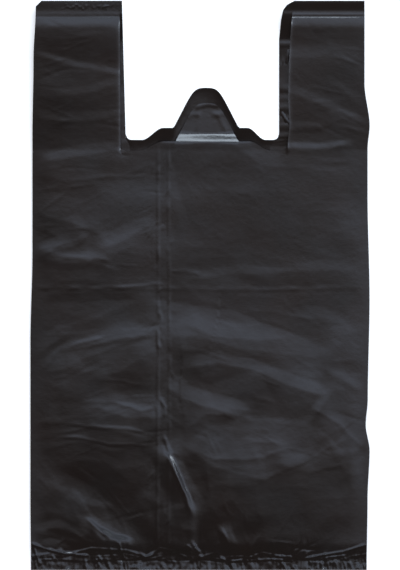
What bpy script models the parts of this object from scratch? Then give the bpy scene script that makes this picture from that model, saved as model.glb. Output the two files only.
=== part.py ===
"""Gusseted plastic carrier bag with two loop handles, lying flat on its back panel.

The bag is one piece of blown film: a tube with a gusset folded into each side,
welded shut along the bottom and along the top, with the mouth cut out of it.
Metres, +Z up. X runs across the bag, Y from the bottom seal to the handles.
The origin is the centre of the bag's footprint on the surface it lies on.
"""

import math
from dataclasses import dataclass

import bmesh
import bpy

# Film tube, laid flat
FLAT_WIDTH = 0.300
BAG_LENGTH = 0.504
FILM = 0.0003
LAYER_GAP = 0.0003

# Handles, and how far each gusset reaches past them
LEFT_HANDLE_WIDTH = 0.0843
RIGHT_HANDLE_WIDTH = 0.0800
HANDLE_HEIGHT = 0.1234
GUSSET_PAST_HANDLE = 0.0037

# The side folds wander inwards: (share of the half length, share of the wander)
SIDE_WANDER = 0.0048
LEFT_INSETS = (
    (-1.0, 0.1),
    (-0.75, 0.0),
    (-0.2, 0.0),
    (0.12, 0.37),
    (0.52, 0.37),
    (0.79, 0.58),
    (1.0, 1.0),
)
RIGHT_INSETS = (
    (-1.0, 0.54),
    (-0.75, 0.37),
    (-0.58, 0.0),
    (-0.49, 0.7),
    (-0.4, 0.33),
    (-0.05, 0.0),
    (0.32, 0.37),
    (0.48, 0.37),
    (0.56, 0.0),
    (0.71, 0.95),
    (1.0, 0.95),
)

# Welded ends
BOTTOM_SEAL = 0.009
TOP_SEAL = 0.009
SEAL_COVER = 0.0001
SEAL_RUN = 0.014
SEAL_EDGE = 0.0002
CORNER_CHAMFER = 0.0045

# Mouth: a dip beside each handle, a shoulder, and a tear-off tab in the middle
DIP_SHARE = 0.385
SHOULDER_RUN_SHARE = 0.375
DIP_RADIUS = 0.005
SHOULDER_RISE = 0.0106
SHOULDER_RADIUS = 0.007
LEFT_LEAN = 0.0033
TOP_CORNER_LEAN = 0.0035
TOP_CORNER_RUN = 0.035
TOP_CORNER_WIDTH = 0.013
TOP_CORNER_HEIGHT = 0.009
TAB_OFFSET = 0.0055
TAB_BASE_WIDTH = 0.0575
TAB_TOP_WIDTH = 0.0215
TAB_HEIGHT = 0.0354
TAB_RADIUS = 0.0115

# The front layers are pulled down and apart, so their edge shows the inside of the back
FRONT_DROP = 0.0095
FRONT_SHOULDER_FALL = 0.0023
FRONT_LEFT_PULL = 0.0051
FRONT_RIGHT_PULL = 0.0083
FRONT_RIGHT_LEAN = 0.0044
FRONT_CORNER_TRIM = 0.001
FRONT_TAB_LOSS = 0.0018
FRONT_TAB_BEND = 0.0065
FRONT_TAB_GAP = 0.0046

# Air between the panels, and between the front and back strap of each handle
BODY_LOFT = 0.0052
BODY_LOFT_RUN = 0.060
HANDLE_LOFT_SHARE = 0.12
HANDLE_LOFT_RUN = 0.030
STRAP_LOFT = 0.0066
STRAP_LOFT_START = 0.050
STRAP_LOFT_RISE = 0.085
STRAP_LOFT_FALL = 0.032

# Storage creases, and how far each folded ridge stands up
CREASE_X = -0.035
CREASE_Y = -0.001
CREASE_HALF_WIDTH = 0.005
CREASE_HEIGHT = 0.0009

# Loose folds of the front panel. Their ends are shares of the half width and half length,
# and their breadth and height are shares of these two.
FOLD_BREADTH = 0.014
FOLD_HEIGHT = 0.0026
FRONT_FOLDS = (
    ((-0.93, 0.42), (-0.47, 0.50), 0.85, 0.85),
    ((-0.97, 0.20), (-0.50, 0.12), 0.85, 0.70),
    ((-0.93, 0.09), (-0.30, 0.21), 0.80, 0.70),
    ((-0.93, -0.18), (-0.33, -0.12), 1.15, 1.00),
    ((-0.87, -0.47), (-0.30, -0.42), 1.00, 0.85),
    ((-0.83, -0.69), (-0.43, -0.89), 0.95, 0.95),
    ((-0.20, -0.22), (0.40, -0.20), 1.20, 1.15),
    ((0.40, -0.20), (0.77, -0.30), 1.10, 1.00),
    ((0.00, -0.36), (0.73, -0.42), 1.10, 0.95),
    ((-0.13, -0.50), (0.53, -0.60), 1.20, 0.95),
    ((-0.19, -0.54), (0.00, -0.89), 0.80, 1.00),
    ((0.13, -0.73), (0.27, -0.93), 0.80, 0.80),
    ((0.57, -0.48), (0.90, -0.63), 0.85, 0.70),
)

# Mesh pitch
COLUMN_PITCH = 0.011
ROW_PITCH = 0.014
EDGE_PITCH = 0.005
FOLD_STEPS = 3
GUSSET_STEPS = 2
BACK_STEPS = 6
ARC_STEP = math.radians(18)
CUTTER_DEPTH = 0.040

HALF_WIDTH = FLAT_WIDTH / 2
HALF_LENGTH = BAG_LENGTH / 2
BOTTOM_SEAL_TOP = -HALF_LENGTH + BOTTOM_SEAL
TOP_SEAL_BASE = HALF_LENGTH - TOP_SEAL
DIP_Y = HALF_LENGTH - HANDLE_HEIGHT

# Layers of the folded tube, counted up from the one that lies on the floor
BACK, GUSSET_BACK, GUSSET_FRONT, FRONT = range(4)
LAYER_PITCH = FILM + LAYER_GAP
SPLIT_Z = FILM / 2 + (GUSSET_BACK + 0.5) * LAYER_PITCH


@dataclass(frozen=True)
class Mouth:
    """The mouth as it is cut through one pair of layers."""

    left: float
    left_lean: float
    right: float
    right_lean: float
    dip_y: float
    shoulder_rise: float
    tab_height: float
    corner_width: float
    corner_height: float


BACK_MOUTH = Mouth(
    left=LEFT_HANDLE_WIDTH - HALF_WIDTH,
    left_lean=LEFT_LEAN,
    right=HALF_WIDTH - RIGHT_HANDLE_WIDTH,
    right_lean=0.0,
    dip_y=DIP_Y,
    shoulder_rise=SHOULDER_RISE,
    tab_height=TAB_HEIGHT,
    corner_width=TOP_CORNER_WIDTH,
    corner_height=TOP_CORNER_HEIGHT,
)
FRONT_MOUTH = Mouth(
    left=BACK_MOUTH.left - FRONT_LEFT_PULL,
    left_lean=0.0,
    right=BACK_MOUTH.right + FRONT_RIGHT_PULL,
    right_lean=FRONT_RIGHT_LEAN,
    dip_y=DIP_Y - FRONT_DROP,
    shoulder_rise=SHOULDER_RISE - FRONT_SHOULDER_FALL,
    tab_height=TAB_HEIGHT - FRONT_TAB_LOSS,
    corner_width=FRONT_CORNER_TRIM,
    corner_height=FRONT_CORNER_TRIM,
)
GUSSET_DEPTH = max(LEFT_HANDLE_WIDTH, RIGHT_HANDLE_WIDTH) + GUSSET_PAST_HANDLE
TAB_FOOT = FRONT_MOUTH.dip_y + FRONT_MOUTH.shoulder_rise
TAB_SPREAD = HALF_WIDTH - GUSSET_DEPTH - TAB_BASE_WIDTH / 2 - abs(TAB_OFFSET)


def smooth(share):
    """An ease from 0 to 1 with level ends."""
    share = min(1.0, max(0.0, share))
    return share * share * (3 - 2 * share)


def mix(low, high, share):
    return low + (high - low) * share


def inset(y, stations):
    """The inset at y, eased between its stations."""
    along = y / HALF_LENGTH
    for (low_y, low), (high_y, high) in zip(stations, stations[1:]):
        if along <= high_y:
            return SIDE_WANDER * mix(low, high, smooth((along - low_y) / (high_y - low_y)))
    return SIDE_WANDER * stations[-1][1]


def side_edges(y):
    """X of the film's middle surface at the left and right side folds."""
    reach = HALF_WIDTH - FILM / 2
    return inset(y, LEFT_INSETS) - reach, reach - inset(y, RIGHT_INSETS)


def seal_lift(y):
    """How far the layers rise off the floor into the middle of a seal."""
    run = min(y - BOTTOM_SEAL_TOP, TOP_SEAL_BASE - y)
    return SEAL_COVER * (1 - smooth(run / SEAL_RUN))


def strap_loft(y):
    """How far the front strap of a handle stands off the back strap."""
    rise = smooth((y - DIP_Y + STRAP_LOFT_START) / STRAP_LOFT_RISE)
    fall = smooth((TOP_SEAL_BASE - y) / STRAP_LOFT_FALL)
    return STRAP_LOFT * rise * fall


def gusset_opening(x, y):
    """Share of the strap loft: nothing at the gusset's inner fold, all of it in the handles."""
    inner = HALF_WIDTH - GUSSET_DEPTH
    ramp = max(0.0, (abs(x) - inner) / GUSSET_DEPTH)
    return mix(min(1.0, ramp), 1.0, smooth((y - DIP_Y + HANDLE_LOFT_RUN) / HANDLE_LOFT_RUN))


def body_loft(x, y):
    """Air held between the front and back panels, fading into the handles."""
    across = 1 - min(1.0, abs(x) / HALF_WIDTH) ** 4
    along = smooth((y - BOTTOM_SEAL_TOP) / BODY_LOFT_RUN)
    along *= mix(1.0, HANDLE_LOFT_SHARE, smooth((y - DIP_Y) / HANDLE_LOFT_RUN))
    along *= smooth((TOP_SEAL_BASE - y) / STRAP_LOFT_FALL)
    return BODY_LOFT * across * along


def ridge(x, y, start, end, breadth, height):
    """A rounded ridge along the line from start to end."""
    start = (start[0] * HALF_WIDTH, start[1] * HALF_LENGTH)
    run = (end[0] * HALF_WIDTH - start[0], end[1] * HALF_LENGTH - start[1])
    along = ((x - start[0]) * run[0] + (y - start[1]) * run[1]) / (run[0] ** 2 + run[1] ** 2)
    along = min(1.0, max(0.0, along))
    away = math.hypot(x - start[0] - along * run[0], y - start[1] - along * run[1])
    return FOLD_HEIGHT * height * math.exp(-((away / (FOLD_BREADTH * breadth)) ** 2))


def front_folds(x, y):
    """Height of the front panel's loose folds and storage creases, level at its edges.

    Ridges that meet run into one another instead of adding up.
    """
    height = sum(ridge(x, y, *fold) ** 3 for fold in FRONT_FOLDS) ** (1 / 3)
    height += CREASE_HEIGHT * math.exp(-(((x - CREASE_X) / CREASE_HALF_WIDTH) ** 2))
    height += CREASE_HEIGHT * math.exp(-(((y - CREASE_Y) / CREASE_HALF_WIDTH) ** 2))
    inside = smooth((HALF_WIDTH - abs(x)) / BODY_LOFT_RUN)
    inside *= smooth((y - BOTTOM_SEAL_TOP) / SEAL_RUN)
    return height * inside * smooth((TOP_SEAL_BASE - y) / STRAP_LOFT_FALL)


def tab_share(x, y):
    """1 where the front tab has sunk towards the back tab, 0 off the tab."""
    bend = smooth((y - TAB_FOOT) / FRONT_TAB_BEND)
    beside = abs(x - TAB_OFFSET) - TAB_BASE_WIDTH / 2
    return bend * (1 - smooth(beside / TAB_SPREAD))


def layer_height(layer, x, y):
    """Z of one layer's middle surface."""
    height = FILM / 2 + seal_lift(y) + layer * LAYER_PITCH
    if layer < GUSSET_FRONT:
        return height
    height += strap_loft(y) * gusset_opening(x, y)
    if layer == GUSSET_FRONT:
        return height
    height += body_loft(x, y) + front_folds(x, y)
    tab_rest = 1.5 * FILM + FRONT_TAB_GAP
    return mix(height, tab_rest, tab_share(x, y))


def evenly(start, end, steps):
    return [mix(start, end, step / steps) for step in range(steps + 1)]


def fold_points(x, high, low, reach, side):
    """The half turn that joins two layers, without its two ends."""
    points = []
    for step in range(1, FOLD_STEPS):
        turn = math.pi * step / FOLD_STEPS
        points.append((x + side * reach * math.sin(turn), mix(high, low, (1 - math.cos(turn)) / 2)))
    return points


def front_columns(left, right):
    """X of the front panel's points, with three on the lengthwise storage crease."""
    crease = [CREASE_X - CREASE_HALF_WIDTH, CREASE_X, CREASE_X + CREASE_HALF_WIDTH]
    steps = round(FLAT_WIDTH / COLUMN_PITCH)
    plain = [mix(-1.0, 1.0, step / steps) for step in range(steps + 1)]
    shares = [x for x in plain if min(abs(x * HALF_WIDTH - c) for c in crease) > EDGE_PITCH / 2]
    shares = sorted(shares + [c / HALF_WIDTH for c in crease])
    middle, reach = (left + right) / 2, (right - left) / 2
    return [middle + share * reach for share in shares]


def section(y):
    """The closed loop of (x, z) that the film makes across the bag at y."""
    turn = LAYER_PITCH / 2
    left, right = side_edges(y)
    left, right = left + turn, right - turn
    inner_right = right - GUSSET_DEPTH + turn
    inner_left = left + GUSSET_DEPTH - turn

    def run(layer, xs):
        return [(x, layer_height(layer, x, y)) for x in xs]

    def joint(x, high, low, side):
        return fold_points(x, layer_height(high, x, y), layer_height(low, x, y), turn, side)

    loop = run(FRONT, front_columns(left, right))
    loop += joint(right, FRONT, GUSSET_FRONT, 1)
    loop += run(GUSSET_FRONT, evenly(right, inner_right, GUSSET_STEPS))
    loop += joint(inner_right, GUSSET_FRONT, GUSSET_BACK, -1)
    loop += run(GUSSET_BACK, evenly(inner_right, right, GUSSET_STEPS))
    loop += joint(right, GUSSET_BACK, BACK, 1)
    loop += run(BACK, evenly(right, left, BACK_STEPS))
    loop += joint(left, BACK, GUSSET_BACK, -1)
    loop += run(GUSSET_BACK, evenly(left, inner_left, GUSSET_STEPS))
    loop += joint(inner_left, GUSSET_BACK, GUSSET_FRONT, 1)
    loop += run(GUSSET_FRONT, evenly(inner_left, left, GUSSET_STEPS))
    loop += joint(left, GUSSET_FRONT, FRONT, -1)
    return loop


def rows():
    """Y of the tube's sections, closer together at the seals, the crease and the tab's bend."""
    low, high = BOTTOM_SEAL_TOP - BOTTOM_SEAL / 2, TOP_SEAL_BASE + TOP_SEAL / 2
    wanted = [low, BOTTOM_SEAL_TOP, BOTTOM_SEAL_TOP + SEAL_RUN / 2, BOTTOM_SEAL_TOP + SEAL_RUN]
    wanted += [CREASE_Y - CREASE_HALF_WIDTH, CREASE_Y, CREASE_Y + CREASE_HALF_WIDTH]
    wanted += [TAB_FOOT + FRONT_TAB_BEND * share for share in (-1, 0, 0.5, 1)]
    wanted += [TOP_SEAL_BASE - SEAL_RUN, TOP_SEAL_BASE - SEAL_RUN / 2, TOP_SEAL_BASE, high]
    turns = [share * HALF_LENGTH for share, _ in RIGHT_INSETS[1:-1]]
    wanted += [y for y in turns if min(abs(y - w) for w in wanted) > EDGE_PITCH]
    plain = evenly(low, high, round((high - low) / ROW_PITCH))
    wanted += [y for y in plain if min(abs(y - w) for w in wanted) > EDGE_PITCH]
    return sorted(wanted)


def film_tube(collection, material):
    """The gusseted tube as an open surface through every section, given its film thickness."""
    mesh = bpy.data.meshes.new("carrier_bag")
    model = bmesh.new()
    loops = [[model.verts.new((x, y, z)) for x, z in section(y)] for y in rows()]
    for near, far in zip(loops, loops[1:]):
        for column in range(len(near)):
            following = (column + 1) % len(near)
            model.faces.new((near[column], near[following], far[following], far[column]))
    bmesh.ops.recalc_face_normals(model, faces=model.faces)
    model.to_mesh(mesh)
    model.free()
    mesh.materials.append(material)
    bag = bpy.data.objects.new("carrier_bag", mesh)
    collection.objects.link(bag)
    shell = bag.modifiers.new("film", "SOLIDIFY")
    shell.thickness = FILM
    shell.offset = 0
    shell.use_even_offset = True
    return bag


def rounded(corners):
    """A closed outline through (x, y, radius) corners, each with a radius turned into an arc."""
    points = []
    for index, (x, y, radius) in enumerate(corners):
        if radius == 0:
            points.append((x, y))
            continue
        before, after = corners[index - 1], corners[(index + 1) % len(corners)]
        inward = math.atan2(before[1] - y, before[0] - x)
        outward = math.atan2(after[1] - y, after[0] - x)
        opening = (outward - inward + math.pi) % (2 * math.pi) - math.pi
        cut = radius / math.tan(abs(opening) / 2)
        middle = inward + opening / 2
        centre_x = x + radius / math.sin(abs(opening) / 2) * math.cos(middle)
        centre_y = y + radius / math.sin(abs(opening) / 2) * math.sin(middle)
        start = math.atan2(
            y + cut * math.sin(inward) - centre_y, x + cut * math.cos(inward) - centre_x
        )
        sweep = -math.copysign(math.pi - abs(opening), opening)
        steps = max(2, math.ceil(abs(sweep) / ARC_STEP))
        for step in range(steps + 1):
            angle = start + sweep * step / steps
            points.append((centre_x + radius * math.cos(angle), centre_y + radius * math.sin(angle)))
    return points


def mouth_corners(mouth):
    """Corners of the mouth, from the left handle's top round the tab to the right handle's top."""
    over = HALF_LENGTH + CUTTER_DEPTH / 2
    shoulder = mouth.dip_y + mouth.shoulder_rise
    tab_left, tab_right = TAB_OFFSET - TAB_BASE_WIDTH / 2, TAB_OFFSET + TAB_BASE_WIDTH / 2
    left_room, right_room = tab_left - mouth.left, mouth.right - tab_right
    left_dip = mouth.left + DIP_SHARE * left_room
    right_dip = mouth.right - DIP_SHARE * right_room
    bend = mouth.right + mouth.right_lean / 2
    return [
        (mouth.left - mouth.left_lean, over, 0),
        (mouth.left, mouth.dip_y, DIP_RADIUS),
        (left_dip, mouth.dip_y, DIP_RADIUS),
        (left_dip + SHOULDER_RUN_SHARE * left_room, shoulder, SHOULDER_RADIUS),
        (tab_left, shoulder, 0),
        (TAB_OFFSET - TAB_TOP_WIDTH / 2, shoulder + mouth.tab_height, TAB_RADIUS),
        (TAB_OFFSET + TAB_TOP_WIDTH / 2, shoulder + mouth.tab_height, TAB_RADIUS),
        (tab_right, shoulder, 0),
        (right_dip - SHOULDER_RUN_SHARE * right_room, shoulder, SHOULDER_RADIUS),
        (right_dip, mouth.dip_y, DIP_RADIUS),
        (mouth.right, mouth.dip_y, DIP_RADIUS / 2),
        (bend, HALF_LENGTH - TOP_CORNER_RUN, 0),
        (bend + TOP_CORNER_LEAN, HALF_LENGTH - mouth.corner_height, 0),
        (bend + TOP_CORNER_LEAN + mouth.corner_width, HALF_LENGTH, 0),
        (bend + TOP_CORNER_LEAN + mouth.corner_width, over, 0),
    ]


def flat_block(name, outline, low, high, collection):
    """A flat outline given its thickness from low to high, as a closed mesh."""
    curve = bpy.data.curves.new(name, "CURVE")
    curve.dimensions = "2D"
    curve.fill_mode = "BOTH"
    curve.extrude = (high - low) / 2
    spline = curve.splines.new("POLY")
    spline.points.add(len(outline) - 1)
    for point, (x, y) in zip(spline.points, outline):
        point.co = (x, y, 0, 1)
    spline.use_cyclic_u = True
    drawn = bpy.data.objects.new(name + "_outline", curve)
    collection.objects.link(drawn)
    drawn.location.z = (high + low) / 2
    bpy.context.view_layer.update()
    evaluated = drawn.evaluated_get(bpy.context.evaluated_depsgraph_get())
    mesh = bpy.data.meshes.new_from_object(evaluated)
    block = bpy.data.objects.new(name, mesh)
    block.matrix_world = drawn.matrix_world.copy()
    collection.objects.link(block)
    bpy.data.objects.remove(drawn)
    model = bmesh.new()
    model.from_mesh(mesh)
    bmesh.ops.remove_doubles(model, verts=model.verts, dist=1e-6)
    bmesh.ops.recalc_face_normals(model, faces=model.faces)
    model.to_mesh(mesh)
    model.free()
    block.hide_render = True
    block.display_type = "WIRE"
    return block


def combine(bag, other, operation):
    """A Boolean of the bag with a helper block."""
    modifier = bag.modifiers.new(other.name, "BOOLEAN")
    modifier.operation = operation
    modifier.object = other
    modifier.solver = "EXACT"


def seal_outline(low_y, high_y):
    """The four corners of a welded band right across the bag."""
    edge = FILM / 2 + SEAL_EDGE
    low_left, low_right = side_edges(low_y)
    high_left, high_right = side_edges(high_y)
    return [
        (low_left - edge, low_y),
        (low_right + edge, low_y),
        (high_right + edge, high_y),
        (high_left - edge, high_y),
    ]


def add_seals(bag, cutters):
    """Welds the four layers together across the bottom and the top of the tube."""
    thickness = FRONT * LAYER_PITCH + FILM + 2 * SEAL_COVER
    bands = (
        ("bottom_seal", -HALF_LENGTH, BOTTOM_SEAL_TOP),
        ("top_seal", TOP_SEAL_BASE, HALF_LENGTH),
    )
    for name, low_y, high_y in bands:
        outline = seal_outline(low_y, high_y)
        combine(bag, flat_block(name, outline, 0, thickness, cutters), "UNION")


def cut_mouth(bag, cutters):
    """Cuts the mouth through the front layers and, a little smaller, through the back ones."""
    front = rounded(mouth_corners(FRONT_MOUTH))
    back = rounded(mouth_corners(BACK_MOUTH))
    over = SPLIT_Z + LAYER_GAP / 10
    combine(bag, flat_block("front_mouth", front, SPLIT_Z, CUTTER_DEPTH, cutters), "DIFFERENCE")
    combine(bag, flat_block("back_mouth", back, -CUTTER_DEPTH, over, cutters), "DIFFERENCE")


def chamfer_corner(bag, cutters):
    """Trims the outer top corner of the left handle."""
    left = side_edges(HALF_LENGTH)[0] - FILM / 2 - SEAL_EDGE
    beyond = CORNER_CHAMFER
    outline = [
        (left - beyond, HALF_LENGTH - 2 * CORNER_CHAMFER),
        (left + 2 * CORNER_CHAMFER, HALF_LENGTH + beyond),
        (left - beyond, HALF_LENGTH + beyond),
    ]
    cutter = flat_block("corner_trim", outline, -CUTTER_DEPTH, CUTTER_DEPTH, cutters)
    combine(bag, cutter, "DIFFERENCE")


def film_material():
    """Black blown film with a soft gloss."""
    material = bpy.data.materials.new("black_film")
    material.use_nodes = True
    shader = material.node_tree.nodes["Principled BSDF"]
    shader.inputs["Base Color"].default_value = (0.012, 0.011, 0.012, 1)
    shader.inputs["Roughness"].default_value = 0.36
    shader.inputs["Metallic"].default_value = 0.0
    return material


def new_collection(name):
    collection = bpy.data.collections.new(name)
    bpy.context.scene.collection.children.link(collection)
    return collection


def main():
    for old in list(bpy.data.objects):
        bpy.data.objects.remove(old)
    parts = new_collection("carrier_bag")
    cutters = new_collection("cutters")
    bag = film_tube(parts, film_material())
    add_seals(bag, cutters)
    cut_mouth(bag, cutters)
    chamfer_corner(bag, cutters)


main()
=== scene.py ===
"""A black film carrier bag, laid flat and seen from straight above.

The bag is four layers of thin film: a front panel, a back panel, and a gusset folded in
between them at each side. Each layer is a surface worked out on a grid and given the
film's thickness. The loose folds, the storage creases and the gathers at the welds are
heights added to those surfaces. Metres throughout, except where a name or a comment
says millimetres.
"""

from __future__ import annotations

import logging
import math
from dataclasses import dataclass, field
from enum import Enum

import bpy
import numpy as np
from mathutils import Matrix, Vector


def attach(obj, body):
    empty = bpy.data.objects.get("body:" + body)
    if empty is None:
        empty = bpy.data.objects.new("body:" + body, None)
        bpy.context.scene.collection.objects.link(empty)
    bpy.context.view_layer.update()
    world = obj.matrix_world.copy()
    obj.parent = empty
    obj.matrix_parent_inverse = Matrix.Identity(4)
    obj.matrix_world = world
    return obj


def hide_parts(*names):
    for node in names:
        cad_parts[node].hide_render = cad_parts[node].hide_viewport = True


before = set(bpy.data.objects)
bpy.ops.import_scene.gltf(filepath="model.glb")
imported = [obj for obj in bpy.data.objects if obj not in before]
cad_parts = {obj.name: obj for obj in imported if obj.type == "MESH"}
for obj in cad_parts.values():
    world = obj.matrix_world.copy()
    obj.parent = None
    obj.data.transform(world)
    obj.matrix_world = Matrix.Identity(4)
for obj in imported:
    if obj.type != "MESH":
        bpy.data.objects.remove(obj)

MM = 0.001
NODE = "carrier_bag"

# Half the bag's length, from its middle to the bottom weld's loose edge.
HALF_LENGTH = 0.252
# How softly a fold's flank runs out into the level film.
FOOT_MELT = 0.012
# Heights over which the tab's flank is followed, so that its exponential stays small.
FLANK_RANGE = (-0.05, 0.2)

Grid = np.ndarray
Points = tuple[tuple[float, float], ...]

log = logging.getLogger("carrier_bag")


def ease(share: Grid | float) -> Grid:
    """Eases from 0 to 1 with level ends: 3 s^2 - 2 s^3, with s held between 0 and 1.

    Args:
        share: How far along, where 0 is the start and 1 the end.

    Returns:
        The eased share.
    """
    held = np.clip(share, 0.0, 1.0)
    return held * held * (3.0 - 2.0 * held)


class Side(Enum):
    """A side of the bag, as the sign of its X."""

    LEFT = -1
    RIGHT = 1


class Ply(Enum):
    """A layer of the flat bag, counted up from the one on the floor."""

    BACK = 0
    GUSSET_BACK = 1
    GUSSET_FRONT = 2
    FRONT = 3


@dataclass(frozen=True)
class Fold:
    """One fold of the film, along a crest through points in millimetres.

    The fold's left side is the one to the left of somebody who walks along the crest. A
    crest that is walked towards +X has its left side towards the handles. The two reaches
    say how far each side runs before it is level. A negative height makes a valley.
    """

    crest: Points
    left: float
    right: float
    height: float
    round_top: float = 0.8
    fade: float = 0.25

    def place(self, x: Grid, y: Grid) -> tuple[Grid, Grid]:
        """Finds where each point lies against the crest.

        The crest is a chain of straight stretches. The nearest one to a point gives the
        distance, which is positive on the left, and the share of the crest walked.

        Args:
            x: X of each point, in millimetres.
            y: Y of each point, in millimetres.

        Returns:
            The signed distance in millimetres and the share of the crest.
        """
        stations = np.array(self.crest, float)
        steps = np.diff(stations, axis=0)
        lengths = np.hypot(steps[:, 0], steps[:, 1])
        walked = np.concatenate([[0.0], np.cumsum(lengths)])
        best = np.full(x.shape, np.inf)
        side = np.ones(x.shape)
        share = np.zeros(x.shape)
        for start, step, length, before in zip(stations, steps, lengths, walked):
            from_x, from_y = x - start[0], y - start[1]
            along = np.clip((from_x * step[0] + from_y * step[1]) / length**2, 0.0, 1.0)
            away = np.hypot(from_x - along * step[0], from_y - along * step[1])
            nearer = away < best
            best = np.where(nearer, away, best)
            cross = step[0] * from_y - step[1] * from_x
            side = np.where(nearer, np.where(cross >= 0, 1.0, -1.0), side)
            share = np.where(nearer, (before + along * length) / walked[-1], share)
        return best * side, share

    def rise(self, x: Grid, y: Grid) -> Grid:
        """Height of the fold at each point, in millimetres.

        Each side is a straight flank that comes down to nothing over its own reach. With
        s the distance over the reach, the flank is 1 - s, and its foot is melted into the
        level film by half of (1 - s) + sqrt((1 - s)^2 + 0.012). The distance is rounded at
        the crest, and the height fades towards both ends of the crest.

        Args:
            x: X of each point, in millimetres.
            y: Y of each point, in millimetres.

        Returns:
            The height in millimetres.
        """
        away, share = self.place(x, y)
        reach = np.where(away >= 0, self.left, self.right)
        away = np.sqrt(away**2 + self.round_top**2) - self.round_top
        down = 1.0 - away / reach
        flank = (down + np.sqrt(down**2 + FOOT_MELT)) / 2.0
        ends = ease(share / self.fade) * ease((1.0 - share) / self.fade)
        return self.height * flank * ends


@dataclass(frozen=True)
class Crumple:
    """Fine irregular waves of the film, as a sum of plane waves in seeded directions."""

    wavelength: float
    height: float
    seed: int
    stretch_x: float = 1.0
    stretch_y: float = 1.0
    waves: int = 14
    ridged: bool = False

    def rise(self, x: Grid, y: Grid) -> Grid:
        """Height of the waves at each point.

        The sum of cos(k . p + phase) over the waves, divided by the root of half their
        number. A ridged crumple takes minus its absolute value, which gives sharp crests.

        Args:
            x: X of each point, in millimetres.
            y: Y of each point, in millimetres.

        Returns:
            The height in millimetres.
        """
        rng = np.random.default_rng(self.seed)
        total = np.zeros(x.shape)
        for _ in range(self.waves):
            turn = rng.uniform(0.0, 2.0 * math.pi)
            beat = 2.0 * math.pi / (self.wavelength * rng.uniform(0.75, 1.45))
            phase = rng.uniform(0.0, 2.0 * math.pi)
            across = math.cos(turn) / self.stretch_x * x
            total += np.cos(beat * (across + math.sin(turn) / self.stretch_y * y) + phase)
        total /= math.sqrt(self.waves / 2.0)
        return self.height * (-np.abs(total) if self.ridged else total)


@dataclass(frozen=True)
class CreaseField:
    """Fine straight creases scattered over an area in millimetres.

    The area is its lowest x and y and its highest x and y. The creases lie near one
    angle from the X axis, in degrees.
    """

    area: tuple[float, float, float, float]
    angle: float
    spread: float
    count: int
    height: float
    seed: int
    length: tuple[float, float] = (14.0, 60.0)
    breadth: tuple[float, float] = (0.8, 2.2)
    raised: float = 0.67
    bow: float = 0.06

    def rise(self, x: Grid, y: Grid) -> Grid:
        """Height of the creases at each point, in millimetres.

        Each crease is h exp(-(v / b)^2) (1 - (u / l)^2)^2, with u the distance along it
        from its middle, v the distance across it, l half its length and b its breadth.
        Two in three are raised and the rest are sunk.

        Args:
            x: X of each point, in millimetres.
            y: Y of each point, in millimetres.

        Returns:
            The height in millimetres.
        """
        rng = np.random.default_rng(self.seed)
        low_x, low_y, high_x, high_y = self.area
        total = np.zeros(x.shape)
        for _ in range(self.count):
            from_x = x - rng.uniform(low_x, high_x)
            from_y = y - rng.uniform(low_y, high_y)
            turn = math.radians(self.angle + rng.normal(0.0, self.spread))
            half = rng.uniform(*self.length) / 2.0
            breadth = rng.uniform(*self.breadth)
            height = self.height * rng.uniform(0.3, 1.0) * (1.0 if rng.random() < self.raised else -1.0)
            bow = rng.normal(0.0, self.bow) / half
            along = from_x * math.cos(turn) + from_y * math.sin(turn)
            across = from_y * math.cos(turn) - from_x * math.sin(turn) + bow * along**2
            fade = np.clip(1.0 - (along / half) ** 2, 0.0, 1.0) ** 2
            total += height * np.exp(-((across / breadth) ** 2)) * fade
        return total


@dataclass(frozen=True)
class Mouth:
    """The mouth's outline in one panel: a dip by each handle, a shoulder and the tab."""

    left: float
    left_top: float
    right: float
    right_line: Points
    dip: float
    shoulder: float
    tab_height: float
    tab_middle: float = 0.0055
    tab_half_width: float = 0.0287
    tab_flank: float = 1.97
    tab_round: float = 0.0047
    dip_share: float = 0.34
    run_share: float = 0.44
    corner: float = 0.0052

    def left_edge(self, y: Grid) -> Grid:
        """X of the left handle's inner edge, a straight line that leans with y."""
        lean = np.clip((y - self.dip) / (HALF_LENGTH - self.dip), 0.0, 1.0)
        return self.left + (self.left_top - self.left) * lean

    def right_edge(self, y: Grid) -> Grid:
        """X of the right handle's inner edge, straight between the points of its line."""
        stations = np.array(self.right_line)
        return np.interp(y, stations[:, 0], stations[:, 1])

    def top(self, x: Grid) -> Grid:
        """Y of the mouth's edge at each x between the handles.

        The edge is the dip, plus an eased rise to the shoulder on each side, plus a
        quarter circle in each corner by a handle. The tab is the lower of its straight
        flanks and its flat top, with the corners melted together by a logarithm.

        Args:
            x: X of each column.

        Returns:
            Y of the edge.
        """
        room_left = self.tab_middle - self.tab_half_width - self.left
        room_right = self.right - self.tab_middle - self.tab_half_width
        from_left = (x - self.left) / room_left
        from_right = (self.right - x) / room_right
        rise = np.minimum(
            ease((from_left - self.dip_share) / self.run_share),
            ease((from_right - self.dip_share) / self.run_share),
        )
        edge = self.dip + (self.shoulder - self.dip) * rise
        beside = np.clip(np.minimum(x - self.left, self.right - x), 0.0, self.corner)
        edge += self.corner - np.sqrt(self.corner**2 - (self.corner - beside) ** 2)
        flank = (self.tab_half_width - np.abs(x - self.tab_middle)) * self.tab_flank
        melt = np.exp(-np.clip(flank, *FLANK_RANGE) / self.tab_round)
        melt += math.exp(-self.tab_height / self.tab_round)
        tab = np.maximum(-self.tab_round * np.log(melt), 0.0)
        return edge + tab


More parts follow.
